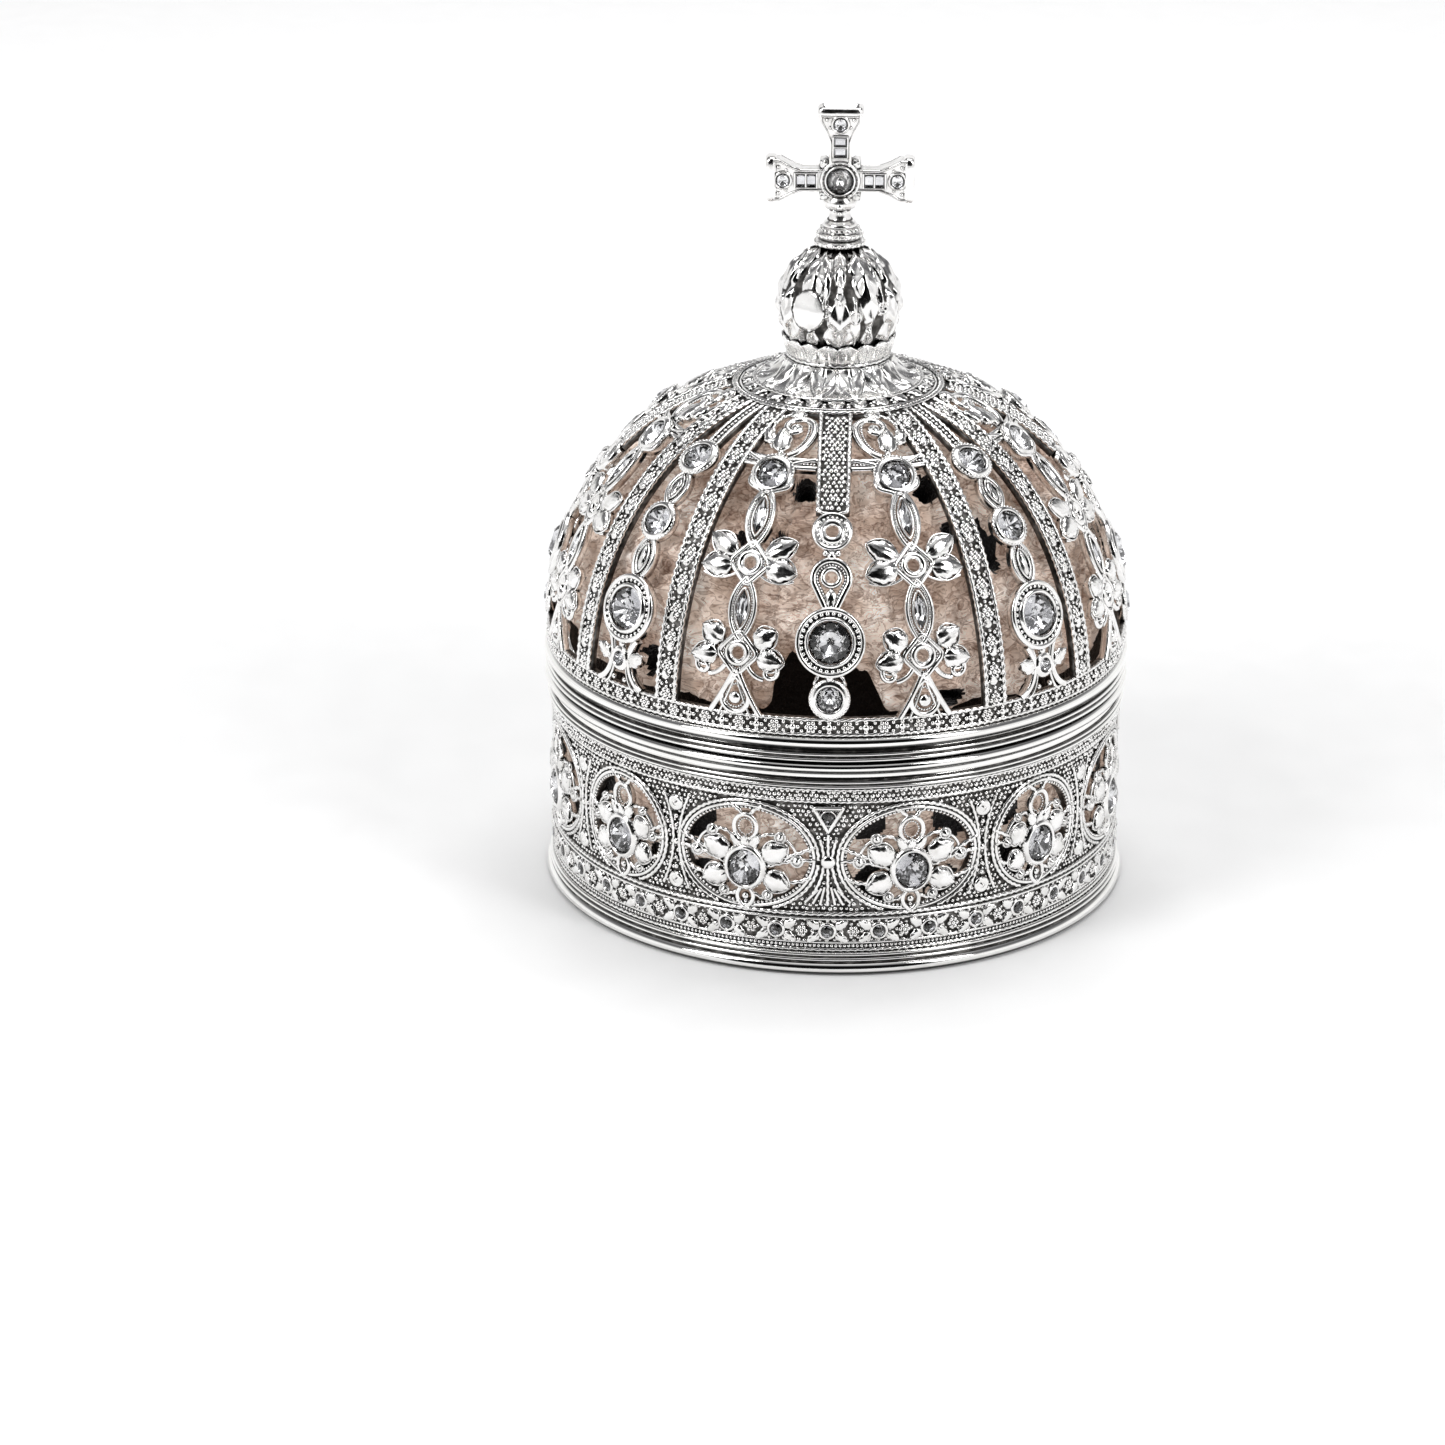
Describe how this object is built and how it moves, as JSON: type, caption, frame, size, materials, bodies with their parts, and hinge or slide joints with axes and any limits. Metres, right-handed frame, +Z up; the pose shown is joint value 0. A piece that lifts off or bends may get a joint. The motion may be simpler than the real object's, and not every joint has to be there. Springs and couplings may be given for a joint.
{
  "type": "tabernacle box",
  "caption": "Round pierced silver box shaped like a crown, set with clear stones, with a lift-off domed lid carrying an orb and cross.",
  "frame": {"origin": "centre of the circle that the foot stands on", "axes": "+Z up through the orb and cross, -Y the front, where a gem column and the face of the cross look; +X to the right"},
  "size_m": [0.124, 0.124, 0.166],
  "materials": {
    "silver_polished": "polished sterling silver, mirror bright, hairline wear",
    "silver_granulated": "granulated and chased silver, bright on the beads and oxidised in the recesses",
    "silver_cast": "cast and chased silver, satin with polished edges and darkened recesses",
    "clear_stone": "clear faceted stone, polished",
    "dark_velvet": "short-pile velvet, near black",
    "champagne_silk": "thin silk, crumpled, soft sheen",
    "brass": "turned brass, satin"
  },
  "bodies": {
    "box": {"floor_plate": "silver_polished", "floor_pad": "dark_velvet", "wall_lining": "dark_velvet", "foot_ring": "silver_polished", "lower_band": "silver_granulated", "upper_band": "silver_granulated", "box_rim": "silver_polished", "wall_panel_front": "silver_granulated", "wall_panel_right": "silver_granulated", "wall_panel_back": "silver_granulated", "wall_panel_left": "silver_granulated", "rosettes": "silver_granulated", "corner_rosettes": "silver_granulated", "rosette_stones": "clear_stone", "wall_stones": "clear_stone"},
    "lid": {"lid_rim": "silver_polished", "lid_spigot": "silver_polished", "dome_base_band": "silver_granulated", "rib_1": "silver_granulated", "rib_2": "silver_granulated", "rib_3": "silver_granulated", "rib_4": "silver_granulated", "rib_5": "silver_granulated", "rib_6": "silver_granulated", "rib_7": "silver_granulated", "rib_8": "silver_granulated", "gem_column_front": "silver_granulated", "gem_column_right": "silver_granulated", "gem_column_back": "silver_granulated", "gem_column_left": "silver_granulated", "corner_column_1": "silver_granulated", "corner_column_2": "silver_granulated", "corner_column_3": "silver_granulated", "corner_column_4": "silver_granulated", "cross_column_1": "silver_granulated", "cross_column_2": "silver_granulated", "cross_column_3": "silver_granulated", "cross_column_4": "silver_granulated", "cross_column_5": "silver_granulated", "cross_column_6": "silver_granulated", "cross_column_7": "silver_granulated", "cross_column_8": "silver_granulated", "crown_cap": "silver_granulated", "scroll_leaves": "silver_granulated", "dome_lining": "champagne_silk", "large_stones": "clear_stone", "medium_stones": "clear_stone", "small_stones": "clear_stone", "pointed_stones": "clear_stone", "petal_collar": "silver_cast", "orb_lower": "silver_cast", "orb_upper": "silver_cast", "neck_collar": "silver_cast", "cross": "silver_cast", "cross_stones": "clear_stone", "finial_stud": "brass", "finial_washer": "brass", "finial_nut": "brass"}
  },
  "joints": [
    {"name": "lid_lift", "type": "slide", "parent": "box", "child": "lid", "axis": [0, 0, 1], "range_m": [0, 0.06]}
  ]
}
